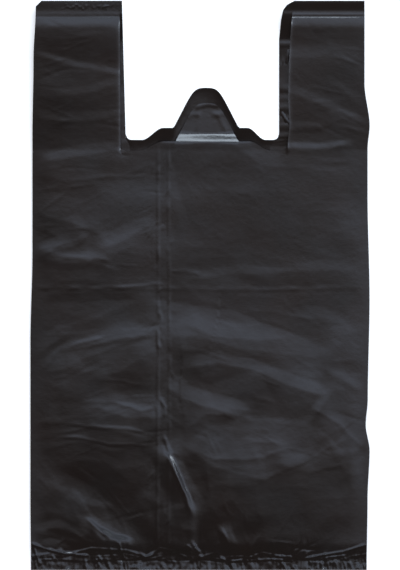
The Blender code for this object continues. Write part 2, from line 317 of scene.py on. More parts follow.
@dataclass
class BagPlan:
    """The flat outline of the bag, and how far apart its layers lie."""

    half_width: float = 0.150
    half_length: float = HALF_LENGTH
    gusset_depth: float = 0.088
    film: float = 0.00016
    pitch: float = 0.0006
    wander: float = 0.0048
    seal_line: float = -0.2435
    top_seal: float = 0.2430
    cut_lead: float = 0.006
    cut_run: float = 0.008
    back_mouth: Mouth = field(
        default_factory=lambda: Mouth(
            left=-0.0657,
            left_top=-0.0690,
            right=0.0700,
            right_line=(
                (-0.252, 0.0700),
                (0.2175, 0.0700),
                (0.2348, 0.0716),
                (0.2432, 0.0734),
                (0.2480, 0.0770),
                (0.2505, 0.0815),
                (0.2520, 0.0860),
            ),
            dip=0.1286,
            shoulder=0.1392,
            tab_height=0.0356,
        )
    )
    front_mouth: Mouth = field(
        default_factory=lambda: Mouth(
            left=-0.0703,
            left_top=-0.0710,
            right=0.0776,
            right_line=(
                (-0.252, 0.0776),
                (0.125, 0.0776),
                (0.142, 0.0792),
                (0.165, 0.0780),
                (0.205, 0.0790),
                (0.228, 0.0805),
                (0.252, 0.0828),
            ),
            dip=0.1192,
            shoulder=0.1272,
            tab_height=0.0340,
            tab_half_width=0.0278,
            tab_middle=0.0061,
        )
    )
    left_insets: Points = (
        (-1.0, 0.1),
        (-0.75, 0.0),
        (-0.2, 0.0),
        (0.12, 0.37),
        (0.52, 0.37),
        (0.79, 0.58),
        (1.0, 1.0),
    )
    right_insets: Points = (
        (-1.0, 0.54),
        (-0.75, 0.37),
        (-0.58, 0.0),
        (-0.49, 0.7),
        (-0.4, 0.33),
        (-0.05, 0.0),
        (0.32, 0.37),
        (0.48, 0.37),
        (0.56, 0.0),
        (0.71, 0.95),
        (1.0, 0.95),
    )

    def side_edge(self, side: Side, y: Grid) -> Grid:
        """X of a side fold, which wanders inwards by eased steps between its stations.

        Args:
            side: Which side of the bag.
            y: Y of each row.

        Returns:
            X of the fold's outermost line.
        """
        stations = self.left_insets if side is Side.LEFT else self.right_insets
        along = np.asarray(y) / self.half_length
        inset = np.full(along.shape, stations[-1][1])
        for (low_y, low), (high_y, high) in reversed(list(zip(stations, stations[1:]))):
            eased = low + (high - low) * ease((along - low_y) / (high_y - low_y))
            inset = np.where(along <= high_y, eased, inset)
        return side.value * (self.half_width - self.wander * inset)

    def gusset_edge(self, side: Side, mouth: Mouth, y: Grid) -> Grid:
        """X where a gusset layer ends: its inner fold, or the handle's edge above the dip.

        The two are joined by an eased step that starts a little under the dip.

        Args:
            side: Which side of the bag.
            mouth: The mouth's outline in this layer.
            y: Y of each row.

        Returns:
            X of the layer's inner line.
        """
        fold = side.value * (self.half_width - self.gusset_depth)
        cut = mouth.left_edge(y) if side is Side.LEFT else mouth.right_edge(y)
        return fold + (cut - fold) * ease((y - mouth.dip + self.cut_lead) / self.cut_run)


# The front panel's folds, in millimetres: crest, reach to the left, reach to the right and
# height. Where they differ from the rest, how round the crest is and the share of it over
# which each end fades come after these.
LEFT_UPPER_FOLDS = (
    Fold(((-154, 98), (-110, 104), (-63, 111)), 9.8, 36.4, 0.38),
    Fold(((-156, 69), (-116, 57), (-77, 41)), 17.9, 15.7, 0.56),
    Fold(((-150, 97), (-113, 89), (-79, 93)), 16.0, 12.7, 0.21),
    Fold(((-100, 28), (-68, 39), (-31, 57)), 11.1, 35.4, 0.55),
    Fold(((-152, 26), (-124, 36), (-93, 43)), 7.0, 13.9, 0.40),
    Fold(((-138, 27), (-104, 22), (-67, 12)), 3.2, 45.2, 0.24),
    Fold(((-153, 54), (-125, 43), (-96, 50)), 14.8, 12.4, 0.45),
)
LEFT_MIDDLE_FOLDS = (
    Fold(((-153, -79), (-118, -73), (-88, -60), (-36, -41)), 18.3, 70.7, 0.67),
    Fold(((-152, -59), (-126, -39), (-85, -27), (-42, -6)), 3.3, 5.7, 0.06),
    Fold(((-157, -69), (-135, -55), (-111, -39)), 8.5, 4.9, 0.24),
    Fold(((-110, -55), (-75, -48), (-37, -44)), 9.0, 3.2, 0.24),
    Fold(((-102, -84), (-70, -76), (-38, -55)), 21.5, 18.1, 0.54),
    Fold(((-104, -103), (-66, -119), (-25, -113)), 19.0, 80.0, 1.18),
    Fold(((-154, -122), (-101, -121), (-38, -139)), 15.5, 13.4, 0.73),
    Fold(((-154, -133), (-97, -135), (-38, -141)), 11.8, 16.9, 0.43),
    Fold(((-105, -64), (-118, -89), (-121, -119)), 80.0, 8.9, 0.29),
    Fold(((-152, 25), (-97, 23), (-40, 39)), 13.2, 29.0, 0.37),
    Fold(((-154, 2), (-97, 5), (-37, -5)), 25.7, 23.9, 0.43),
    Fold(((-152, -18), (-103, -16), (-44, -12)), 7.5, 80.0, -0.29),
    Fold(((-98, -114), (-69, -104), (-36, -104)), 23.8, 7.0, -0.29),
    Fold(((-149, -146), (-106, -139), (-51, -150)), 17.5, 24.9, 0.53),
)
LEFT_LOWER_FOLDS = (
    Fold(((-156, -162), (-132, -201), (-92, -223), (-77, -252)), 21.5, 24.9, 0.72, 0.8, 0.2),
    Fold(((-129, -159), (-81, -156), (-42, -192)), 24.8, 65.2, 0.74),
    Fold(((-105, -204), (-85, -225), (-55, -233)), 7.4, 26.9, 1.13, 0.6),
    Fold(((-138, -172), (-115, -191), (-104, -220)), 17.5, 16.5, 0.45),
    Fold(((-61, -186), (-26, -196), (-52, -225)), 38.0, 39.2, 1.04),
    Fold(((-153, -209), (-125, -224), (-83, -224)), 24.5, 80.0, -1.60),
    Fold(((-131, -162), (-88, -179), (-73, -233)), 39.2, 20.6, -0.82),
    Fold(((-128, -179), (-105, -185), (-80, -195)), 4.0, 3.1, 0.08),
    Fold(((-118, -183), (-99, -193), (-76, -199)), 5.1, 10.0, 0.30, 0.5),
    Fold(((-76, -165), (-44, -185), (-37, -229)), 13.3, 14.5, -0.21),
    Fold(((-152, -218), (-126, -224), (-97, -232)), 26.1, 7.0, 0.48),
    Fold(((-142, -146), (-112, -162), (-65, -181), (-35, -216)), 29.2, 31.3, 0.42),
)
MIDDLE_FOLDS = (
    Fold(((-49, -10), (-14, -17), (26, -22), (77, -40), (121, -62)), 72.5, 33.2, -1.19, 0.6, 0.14),
    Fold(((-36, -48), (-18, -43), (7, -48), (37, -56), (112, -66)), 17.6, 78.8, 0.55, 0.5, 0.14),
    Fold(((-24, -27), (8, -45), (49, -48), (89, -46)), 11.9, 14.7, 0.41, 0.5),
    Fold(((-20, -75), (18, -69), (43, -75), (72, -87), (117, -100)), 10.3, 80.0, 0.64, 0.4, 0.14),
    Fold(((-33, -89), (-9, -103), (11, -109), (48, -120)), 14.2, 80.0, 0.87, 0.4, 0.18),
    Fold(((6, -131), (44, -114), (88, -119), (136, -113)), 9.2, 11.7, -0.18),
    Fold(((-26, -135), (13, -161), (58, -173), (92, -155), (138, -131)), 43.6, 80.0, 1.87, 0.4, 0.14),
    Fold(((-14, -144), (13, -153), (55, -153), (93, -140)), 18.1, 20.1, 0.93, 0.4),
    Fold(((-23, -129), (-22, -157), (-5, -190), (-6, -219)), 7.0, 80.0, 0.61, 0.5),
    Fold(((5, -147), (8, -191), (-6, -232)), 22.2, 16.5, 0.90),
    Fold(((-5, -208), (27, -190), (51, -220)), 25.1, 18.9, 0.44),
    Fold(((23, -209), (31, -230), (41, -250)), 2.7, 1.7, 0.36, 0.6),
    Fold(((-20, -240), (-15, -216), (1, -218)), 23.2, 80.0, 1.85),
    Fold(((-35, -54), (-0, -58), (37, -61), (93, -66)), 14.2, 9.3, 0.23, 0.5),
    Fold(((-18, -131), (5, -114), (37, -116)), 22.4, 9.2, 0.44, 0.5),
    Fold(((5, -159), (44, -169), (88, -162), (125, -128)), 5.2, 7.0, -0.12, 0.5),
    Fold(((-27, -67), (6, -87), (51, -76), (80, -123)), 75.6, 50.5, -1.32),
    Fold(((44, -150), (52, -191), (60, -247)), 80.0, 80.0, 1.51),
)
RIGHT_FOLDS = (
    Fold(((-35, 7), (25, 7), (88, 13), (152, 12)), 7.0, 16.1, 0.20),
    Fold(((67, -25), (90, -27), (110, -35), (152, -34)), 13.1, 28.3, -0.21, 0.4),
    Fold(((87, -16), (113, -20), (134, -33)), 10.0, 7.0, -0.15, 0.5),
    Fold(((109, -76), (128, -84), (147, -98)), 6.1, 5.3, 0.14, 0.5),
    Fold(((114, -68), (133, -67), (151, -65)), 7.9, 7.7, 0.16, 0.5),
    Fold(((98, -109), (124, -122), (148, -149)), 46.2, 14.0, 0.88, 0.4, 0.15),
    Fold(((97, -140), (137, -119), (125, -159)), 22.6, 12.6, 0.30, 0.4, 0.15),
    Fold(((61, -158), (100, -164), (149, -157)), 14.8, 32.7, 0.43, 0.8, 0.16),
    Fold(((86, -160), (88, -198), (120, -226)), 80.0, 80.0, 0.51),
    Fold(((-3, 85), (23, 85), (58, 77)), 8.5, 8.6, 0.11),
    Fold(((78, 69), (116, 66), (155, 58)), 12.3, 10.6, 0.16),
    Fold(((-28, 125), (-21, 93), (-5, 37)), 37.6, 7.0, -0.19, 0.6),
    Fold(((17, 35), (71, 41), (134, 44)), 52.0, 21.7, -0.37),
    Fold(((-26, 21), (53, -1), (152, -3)), 80.0, 28.5, -0.67),
    Fold(((9, 141), (53, 106), (142, 100)), 11.5, 39.1, 0.32),
    Fold(((111, -86), (117, -59), (153, -61)), 13.2, 19.0, 0.22),
)
LEFT_HANDLE_FOLDS = (
    Fold(((-156, 205), (-112, 195), (-62, 183)), 4.5, 20.0, 0.30, fade=0.15),
    Fold(((-135, 165), (-92, 172), (-62, 180)), 6.0, 20.0, 0.22, fade=0.2),
    Fold(((-156, 222), (-110, 219), (-62, 222)), 18.0, 22.0, 0.16, fade=0.15),
    Fold(((-140, 231), (-108, 229), (-73, 235)), 6.0, 6.0, 0.12),
    Fold(((-156, 150), (-110, 144), (-62, 147)), 9.0, 22.0, 0.28, fade=0.15),
)
RIGHT_HANDLE_FOLDS = (
    Fold(((69, 173), (108, 159), (152, 139)), 6.0, 20.0, 0.24, fade=0.2),
    Fold(((108, 183), (131, 169), (152, 150)), 5.0, 10.0, 0.13),
    Fold(((78, 139), (94, 140), (113, 140)), 4.0, 4.5, 0.12),
    Fold(((67, 119), (103, 121), (142, 124)), 4.5, 16.0, 0.50),
    Fold(((67, 199), (115, 203), (154, 198)), 10.0, 26.0, 0.18, fade=0.2),
)
THIN_LINES = (
    Fold(((-145, -79), (-124, -57), (-88, -54), (-44, -47)), 4.3, 3.0, 0.07, 0.4, 0.15),
    Fold(((-99, -202), (-82, -216), (-79, -232), (-69, -243)), 2.5, 1.4, 0.07, 0.4, 0.15),
    Fold(((-124, 26), (-101, 25), (-78, 21)), 4.1, 2.7, 0.21, 0.4, 0.2),
)
# Short sharp folds that catch the light.
GLINTS = (
    Fold(((-147, 107), (-115, 114), (-65, 121)), 7.0, 9.0, 0.38, 0.8, 0.2),
    Fold(((-154, 25), (-131, 29), (-96, 40)), 4.5, 8.0, 0.20),
    Fold(((-140, 21), (-106, 21), (-76, 22)), 3.0, 6.0, 0.16),
    Fold(((-28, -148), (-21, -164), (-12, -185)), 1.6, 2.2, 0.55, 0.4, 0.2),
    Fold(((19, -211), (27, -230), (34, -248)), 3.4, 4.0, 0.95, 0.5, 0.25),
    Fold(((-158, -218), (-127, -217), (-90, -228)), 7.0, 14.0, 0.55, 0.8, 0.2),
    Fold(((-90, -215), (-78, -224), (-60, -228)), 3.0, 3.0, 0.40, 0.5),
    Fold(((-34, -139), (-27, -156), (-18, -178), (-10, -197), (-5, -211)), 5.0, 14.0, 1.35, 0.6, 0.25),
    Fold(((-25, -153), (-14, -181), (-6, -204)), 2.6, 2.6, 0.95, 0.4, 0.3),
    Fold(((-120, -122), (-80, -126), (-41, -131)), 1.6, 1.5, 0.13, 0.4, 0.2),
    Fold(((-127, -133), (-85, -139), (-42, -143)), 1.6, 1.5, 0.14, 0.4, 0.2),
    Fold(((-92, -2), (-62, 0), (-25, -1)), 1.6, 1.5, 0.11, 0.4, 0.2),
    Fold(((-30, 12), (-14, 13), (4, 11)), 2.0, 1.6, 0.12, 0.4, 0.2),
    Fold(((-35, -20), (-33, -29), (-35, -40)), 1.5, 1.5, 0.24, 0.4),
    Fold(((-37, -36), (-38, -47), (-37, -59)), 1.3, 1.5, 0.22, 0.4),
    Fold(((-37, -98), (-31, -108), (-33, -118)), 1.6, 1.8, 0.26, 0.4),
    Fold(((-32, -130), (-28, -142), (-23, -153)), 1.6, 2.0, 0.40, 0.4),
    Fold(((-115, -55), (-99, -49), (-83, -45)), 2.2, 2.4, 0.15, 0.5),
    Fold(((-83, -104), (-67, -108), (-53, -110), (-37, -105)), 1.8, 2.4, 0.13, 0.5),
    Fold(((-103, -204), (-90, -215), (-78, -224)), 2.2, 1.8, 0.34, 0.4),
)
TAB_FOLDS = (
    Fold(((-7, 157), (7, 160), (21, 158)), 3.5, 2.0, 0.28, 0.5),
    Fold(((-14, 148), (-5, 151), (2, 150)), 2.5, 2.0, 0.15, 0.5),
    Fold(((9, 152), (16, 151), (23, 153)), 2.0, 3.0, 0.20, 0.5),
    Fold(((-2, 164), (-1, 148), (-4, 132)), 2.5, 2.5, 0.12, 0.5),
    Fold(((14, 155), (19, 144), (25, 132)), 3.0, 2.5, 0.12, 0.5),
)
# Areas of fine creases: the area, the angle, its spread, the number, the height and the seed.
CREASE_FIELDS = (
    CreaseField((-150, 10, -38, 122), 12.0, 16.0, 30, 0.08, 101),
    CreaseField((-28, 10, 150, 120), -4.0, 16.0, 22, 0.04, 102),
    CreaseField((-150, -152, -38, 2), 9.0, 11.0, 30, 0.08, 103),
    CreaseField((-26, -158, 150, 0), -19.0, 10.0, 34, 0.07, 104),
    CreaseField((-150, -238, -40, -150), -42.0, 9.0, 18, 0.09, 105),
    CreaseField((-38, -240, 50, -140), -66.0, 13.0, 18, 0.09, 106),
    CreaseField((45, -240, 150, -150), 24.0, 24.0, 12, 0.05, 107),
    CreaseField((-150, 128, -72, 238), -4.0, 15.0, 22, 0.08, 108),
    CreaseField((80, 128, 150, 238), -10.0, 18.0, 20, 0.07, 109),
    CreaseField((-46, -240, -22, 120), 82.0, 16.0, 60, 0.14, 112, (5.0, 18.0), (0.6, 1.3)),
)
# Lines drawn along and out of the bottom weld.
WELD_LINES = (
    Fold(((-152, -228), (-138, -233), (-122, -237), (-96, -240)), 1.5, 1.2, 0.50, 0.4, 0.12),
    Fold(((-124, -240), (-96, -233), (-65, -235), (-44, -241)), 1.5, 1.2, 0.40, 0.4, 0.12),
    Fold(((-73, -226), (-70, -234), (-67, -243)), 1.4, 1.2, 0.60, 0.4, 0.12),
    Fold(((-48, -242), (-35, -233), (-21, -236), (-9, -243)), 1.5, 1.2, 0.45, 0.4, 0.12),
    Fold(((-12, -229), (-7, -235), (5, -243)), 1.4, 1.2, 0.50, 0.4, 0.12),
    Fold(((41, -243), (55, -237), (71, -240), (88, -242)), 1.5, 1.2, 0.40, 0.4, 0.12),
    Fold(((88, -243), (108, -239), (127, -236), (149, -229)), 1.5, 1.2, 0.45, 0.4, 0.12),
    Fold(((-145, -243), (-124, -243), (-103, -244), (-73, -243)), 1.2, 0.9, 0.25, 0.4, 0.12),
    Fold(((11, -243), (35, -244), (62, -243), (90, -244)), 1.2, 0.9, 0.40, 0.4, 0.12),
)
WELD_CREASES = (
    CreaseField((-148, -246, 148, -236), 94.0, 22.0, 120, 0.44, 110, (6.0, 22.0), (0.6, 1.3)),
    CreaseField((-148, -254, 148, -242), 90.0, 9.0, 210, 0.58, 111, (5.0, 13.0), (0.5, 1.0)),
    CreaseField((-148, -242, 148, -228), 60.0, 50.0, 44, 0.30, 113, (10.0, 34.0), (0.8, 1.7)),
    CreaseField((-148, -245, 148, -238), 4.0, 9.0, 40, 0.30, 118, (14.0, 44.0), (0.6, 1.2)),
    CreaseField((-150, 243, 150, 252), 0.0, 60.0, 140, 0.26, 114, (2.0, 8.0), (0.5, 1.0)),
)
BACK_STRAP_CREASES = (
    CreaseField((67, 108, 80, 232), 86.0, 16.0, 50, 0.60, 115, (8.0, 34.0), (0.6, 1.3)),
    CreaseField((-76, 120, -62, 240), 84.0, 24.0, 16, 0.20, 116, (5.0, 20.0), (0.6, 1.3)),
    CreaseField((-66, 118, 70, 146), 4.0, 30.0, 26, 0.12, 117, (5.0, 20.0), (0.7, 1.5)),
)
# Marks of the bag's having been folded flat: two lines along it and one across.
STORAGE_CREASES = (
    Fold(((-37, 129), (-37, -57), (-38, -248)), 1.5, 1.5, 0.19, 0.3, 0.05),
    Fold(((-28, 132), (-27, -57), (-28, -248)), 1.5, 1.5, 0.15, 0.3, 0.05),
    Fold(((-156, -2), (-93, -3), (-33, -3), (53, -4), (156, -2)), 2.6, 2.2, 0.07, 0.5, 0.05),
)
# Folds of the strip of the right back strap that shows beside the front one.
BACK_STRAP_FOLDS = (
    Fold(((72, 217), (73, 198), (72, 175)), 2.0, 2.0, 0.75, 0.5),
    Fold(((83, 212), (76, 215), (69, 213)), 2.0, 2.0, 0.70, 0.5),
    Fold(((67, 162), (74, 149), (83, 137)), 3.0, 2.0, 1.00, 0.5),
    Fold(((83, 132), (74, 133), (67, 130)), 2.5, 2.0, 0.70, 0.5),
)


@dataclass(frozen=True)
class WeldGathers:
    """Gathers of the front panel beside its welds.

    Heights are in millimetres. Lines, runs and reaches are in metres.
    """

    seal_line: float
    top_seal: float
    coarse: Crumple = Crumple(13.0, 0.20, 31, stretch_y=6.0, ridged=True)
    fine: Crumple = Crumple(5.0, 0.12, 32, stretch_y=5.0, ridged=True)
    slant: float = 0.25
    slant_beat: float = 17.0
    coarse_reach: float = 0.010
    fine_reach: float = 0.0045
    lift: float = 0.5
    lift_reach: float = 0.020
    skirt_lift: float = 0.1
    skirt_run: float = 0.005
    skirt_slope: float = 0.045
    nip: Crumple = Crumple(6.0, 0.16, 33, stretch_y=1.2, ridged=True)
    nip_lift: float = 0.2
    nip_line: float = 0.003
    nip_reach: float = 0.0040
    nip_share: float = 0.6
    blotch: float = 2.4
    blotch_middle: float = -96.0
    blotch_half: float = 26.0
    groove: float = 0.30
    groove_line: float = 0.0052
    groove_reach: float = 0.0009
    shelf: float = 0.35
    shelf_start: float = 0.0006
    shelf_run: float = 0.0052

    def bottom(self, x: Grid, y: Grid) -> Grid:
        """Height of the gathers at the bottom weld, in millimetres.

        Above the weld the height is a coarse and a fine ridged wave along X, each of which
        dies away as exp(-r / its reach) with r the distance from the weld, and both again
        as exp(-r / the lift's reach). The loose film under the weld flares likewise.

        Args:
            x: X of each point.
            y: Y of each point.

        Returns:
            The height in millimetres.
        """
        mm_x, mm_y = x / MM, y / MM
        slanted = mm_x + self.slant * (mm_y + HALF_LENGTH / MM) * np.sin(mm_x / self.slant_beat)
        coarse, fine = self.coarse.rise(slanted, mm_y), self.fine.rise(slanted, mm_y)
        above = np.maximum(y - self.seal_line, 0.0)
        below = np.maximum(self.seal_line - y, 0.0)
        waves = coarse * np.exp(-above / self.coarse_reach) + fine * np.exp(-above / self.fine_reach)
        waves = (waves + self.lift) * np.exp(-above / self.lift_reach)
        skirt = (coarse + fine + self.skirt_lift) * ease(below / self.skirt_run)
        return waves + (skirt + below / MM * self.skirt_slope) * (below > 0)

    def top(self, x: Grid, y: Grid) -> Grid:
        """Height of the nips, the groove and the sunken shelf at the top welds.

        The nips are short waves that stay close to the weld and are strongest in one
        blotch of the left handle. The groove runs along the weld's inner line, and the
        film beyond it is pressed down.

        Args:
            x: X of each point.
            y: Y of each point.

        Returns:
            The height in millimetres.
        """
        past = y - self.top_seal
        blotched = self.nip_share + self.blotch * (np.abs(x / MM - self.blotch_middle) < self.blotch_half)
        nip = (self.nip.rise(x / MM, y / MM) + self.nip_lift) * blotched
        nip = nip * np.exp(-(((past - self.nip_line) / self.nip_reach) ** 2))
        groove = self.groove * np.exp(-(((past + self.groove_line) / self.groove_reach) ** 2))
        shelf = self.shelf * (1.0 - ease((self.shelf_start - past) / self.shelf_run))
        return nip - groove - shelf

    def rise(self, x: Grid, y: Grid) -> Grid:
        """Height of all gathers, creases and lines at the welds, in metres."""
        lines = sum(line.rise(x / MM, y / MM) for line in WELD_CREASES + WELD_LINES)
        return MM * (self.bottom(x, y) + self.top(x, y) + lines)


@dataclass
class FilmLay:
    """How the film lies: the height of each layer over the floor.

    A loft is how much air lies under a panel. A run is the length of an eased step, and a
    start is how far from its line the step begins.
    """

    plan: BagPlan
    weld_run: float = 0.016
    weld_pitch: float = 0.35
    body_loft: float = 0.0042
    body_start: float = 0.004
    body_run: float = 0.170
    pillow: float = 0.10
    pillow_rise: float = 0.0011
    pillow_fall: float = 0.030
    handle_start: float = 0.060
    handle_run: float = 0.120
    handle_loss: float = 0.62
    strap_loft: float = 0.0020
    strap_start: float = 0.070
    strap_run: float = 0.120
    top_rise: float = 0.0049
    top_twist: float = 0.0004
    twist_run: float = 0.02
    top_start: float = 0.120
    top_run: float = 0.120
    meet_start: float = 0.027
    meet_run: float = 0.025
    tab_rest: float = 0.0026
    tab_lean: float = 0.0006
    tab_foot: float = 0.0070
    tab_lead: float = 0.0004
    tab_flare: float = 0.0276
    lip_curl: float = 0.0013
    lip_reach: float = 0.0075
    lip_gain: float = 1.6
    lip_peak: float = 0.034
    lip_end: float = 0.006
    cut_roll: float = 0.0007
    cut_reach: float = 0.0012
    right_roll: float = 0.8
    end_curl: float = 0.0003
    right_curl: float = 0.0010
    curl_lead: float = 0.001
    curl_run: float = 0.0095
    relief_start: float = 0.014
    relief_swing: float = 0.010
    swing_beats: tuple[float, float] = (0.011, 0.0263)
    weld_relief: float = 0.1
    lowest_films: float = 2.5
    clear_films: float = 1.2
    back_lift: float = 0.22
    back_top: float = 0.38
    back_tilt: float = 1.5
    tilt_run: float = 0.0125
    side_run: float = 0.018
    side_relief: float = 0.15
    drift_shift: tuple[float, float] = (60.0, 35.0)
    mark_drift: float = 0.12
    nick: Crumple = Crumple(wavelength=16.0, height=0.45, seed=41)
    folds: tuple[Fold, ...] = (
        LEFT_UPPER_FOLDS
        + LEFT_MIDDLE_FOLDS
        + LEFT_LOWER_FOLDS
        + MIDDLE_FOLDS
        + RIGHT_FOLDS
        + LEFT_HANDLE_FOLDS
        + RIGHT_HANDLE_FOLDS
        + THIN_LINES
        + GLINTS
    )
    drift: tuple[Crumple, ...] = (
        Crumple(wavelength=52.0, height=0.8, seed=11),
        Crumple(wavelength=15.0, height=0.14, seed=12),
    )
    crumple: tuple[Crumple, ...] = (
        Crumple(wavelength=52.0, height=0.10, seed=21, stretch_x=2.4),
        Crumple(wavelength=24.0, height=0.022, seed=22, stretch_x=2.6, ridged=True),
        Crumple(wavelength=10.0, height=0.005, seed=23, stretch_x=1.6, ridged=True),
    )

    back_waves: tuple[Crumple, ...] = (
        Crumple(wavelength=26.0, height=0.10, seed=51),
        Crumple(wavelength=8.0, height=0.050, seed=52, ridged=True),
    )

    def seal_run(self, y: Grid) -> Grid:
        """0 at the welds and 1 clear of them, with an eased step between."""
        run = np.minimum(y - self.plan.seal_line, self.plan.top_seal - y)
        return ease(run / self.weld_run)

    def body_air(self, x: Grid, y: Grid) -> Grid:
        """Air between the panels: flat in the middle, and none at the side folds and welds.

        Across the bag it is 1 - (|x| / half the width)^4. Along the bag it is a small pillow
        by the bottom weld, (1 - exp(-r / rise)) exp(-r / fall) with r the distance from the
        weld, plus a long eased step. It is less in the handles.

        Args:
            x: X of each point.
            y: Y of each point.

        Returns:
            The height of the air.
        """
        plan = self.plan
        across = 1.0 - np.minimum(np.abs(x) / plan.half_width, 1.0) ** 4
        from_weld = np.maximum(y - plan.seal_line, 0.0)
        pillow = self.pillow * (1.0 - np.exp(-from_weld / self.pillow_rise))
        pillow = pillow * np.exp(-from_weld / self.pillow_fall)
        along = pillow + ease((from_weld - self.body_start) / self.body_run)
        into_handle = ease((y - plan.back_mouth.dip + self.handle_start) / self.handle_run)
        return self.body_loft * across * (along * (1.0 - self.handle_loss * into_handle))

    def strap_air(self, x: Grid, y: Grid) -> Grid:
        """Air in the hand loops, which runs out 70 mm under the mouth's dip.

        It opens from the side fold inwards, and the loops rise evenly towards their tops,
        the left one a little higher than the right one.

        Args:
            x: X of each point.
            y: Y of each point.

        Returns:
            The height of the air.
        """
        plan = self.plan
        above = y - plan.back_mouth.dip + self.strap_start
        inner = plan.half_width - plan.gusset_depth
        ramp = np.clip((np.abs(x) - inner) / plan.gusset_depth, 0.0, 1.0)
        share = ramp + (1.0 - ramp) * ease(above / self.strap_start)
        up_handle = np.clip((y - self.top_start) / self.top_run, 0.0, 1.0)
        top = self.top_rise - self.top_twist * np.tanh(x / self.twist_run)
        return self.strap_loft * ease(above / self.strap_run) * share + top * up_handle

    def relief(self, x: Grid, y: Grid) -> Grid:
        """Loose folds, storage creases and crumples of the front panel, in metres.

        The folds are read at points that drift by a slow wave, so that no fold is ruled
        straight. The storage creases drift by an eighth of that and are nicked along their
        length. The relief is weakest at the side folds.

        Args:
            x: X of each point.
            y: Y of each point.

        Returns:
            The height in metres.
        """
        mm_x, mm_y = x / MM, y / MM
        drift_x = sum(wave.rise(mm_x, mm_y) for wave in self.drift)
        shift_x, shift_y = self.drift_shift
        drift_y = sum(wave.rise(mm_y + shift_x, mm_x - shift_y) for wave in self.drift)
        total = sum(fold.rise(mm_x + drift_x, mm_y + drift_y) for fold in self.folds)
        total = total + sum(wave.rise(mm_x, mm_y) for wave in self.crumple)
        total = total + sum(area.rise(mm_x, mm_y) for area in CREASE_FIELDS)
        nicks = 1.0 + self.nick.rise(mm_x, mm_y)
        near_x, near_y = mm_x + self.mark_drift * drift_x, mm_y + self.mark_drift * drift_y
        for crease in STORAGE_CREASES:
            total = total + nicks * crease.rise(near_x, near_y)
        inwards = ease((self.plan.half_width - np.abs(x)) / self.side_run)
        return MM * total * (self.side_relief + (1.0 - self.side_relief) * inwards)

    def weld_curl(self, x: Grid, y: Grid) -> Grid:
        """How far all layers curl up beyond the top welds, more at the right handle."""
        past = ease((y - self.plan.top_seal + self.curl_lead) / self.curl_run)
        return (self.end_curl + self.right_curl * (x > 0)) * past

    def edge_roll(self, x: Grid, y: Grid) -> Grid:
        """How far the cut edge curls down at the left handle, and up at the right one."""
        mouth = self.plan.front_mouth
        left = np.abs(x - mouth.left_edge(y))
        right = np.abs(x - mouth.right_edge(y))
        near = np.exp(-left / self.cut_reach) - self.right_roll * np.exp(-right / self.cut_reach)
        above = ease((y - mouth.dip + 0.003) / 0.006)
        return self.cut_roll * near * above * self.seal_run(y)

    def sunk_tab(self, x: Grid, y: Grid) -> Grid:
        """1 where the front tab lies on the back tab, 0 off the tab.

        The foot is a nearly straight ramp, which the light catches.
        """
        mouth = self.plan.front_mouth
        run = np.clip((y - mouth.shoulder + self.tab_lead) / self.tab_foot, 0.0, 1.0)
        straight, eased = 0.92, 0.08
        ramp = straight * run + eased * ease(run)
        beside = np.abs(x - mouth.tab_middle) - mouth.tab_half_width
        return ramp * (1.0 - ease(beside / self.tab_flare))

    def height(self, ply: Ply, x: Grid, y: Grid) -> Grid:
        """Height of one layer's middle surface over the floor.

        The layers lie at one pitch, and closer at the welds. The air lifts the front ones,
        and all of them where they meet by the top welds. The front panel also has the relief
        and the welds' gathers, its tab is sunk onto the back one, and it is held clear of the
        gusset under it.

        Args:
            ply: Which layer.
            x: X of each point.
            y: Y of each point.

        Returns:
            Z of each point.
        """
        pitch = self.plan.pitch * (self.weld_pitch + (1.0 - self.weld_pitch) * self.seal_run(y))
        base = self.plan.film / 2 + ply.value * pitch + self.weld_curl(x, y)
        strap, body = self.strap_air(x, y), self.body_air(x, y)
        meet = ease((y - self.plan.top_seal + self.meet_start) / self.meet_run)
        if ply in (Ply.BACK, Ply.GUSSET_BACK):
            return base + self.back_relief(x, y) * (1.0 - meet) + (strap + body) * meet
        if ply is Ply.GUSSET_FRONT:
            return base + strap + body * meet
        base = base + strap + body + WeldGathers(self.plan.seal_line, self.plan.top_seal).rise(x, y)
        swing = np.sin(x / self.swing_beats[0]) * np.sin(x / self.swing_beats[1] + 1.0)
        start = self.relief_start + self.relief_swing * swing
        near_weld = ease((y - self.plan.seal_line) / start) * ease((self.plan.top_seal - y) / 0.006)
        base = base + self.relief(x, y) * (self.weld_relief + (1.0 - self.weld_relief) * near_weld)
        sunk = self.sunk_tab(x, y)
        mouth = self.plan.front_mouth
        up_tab = np.clip((y - mouth.shoulder) / mouth.tab_height, 0, 1)
        marks = sum(fold.rise(x / MM, y / MM) for fold in TAB_FOLDS)
        tab = self.tab_rest + self.tab_lean * (1.0 - up_tab) + MM * marks
        base = base - self.edge_roll(x, y)
        front = np.maximum(base * (1.0 - sunk) + tab * sunk, self.plan.film * self.lowest_films)
        over_gusset = self.height(Ply.GUSSET_FRONT, x, y) + self.plan.film * self.clear_films
        beside = np.abs(x) > self.plan.half_width - self.plan.gusset_depth
        return np.where(beside, np.maximum(front, over_gusset), front)

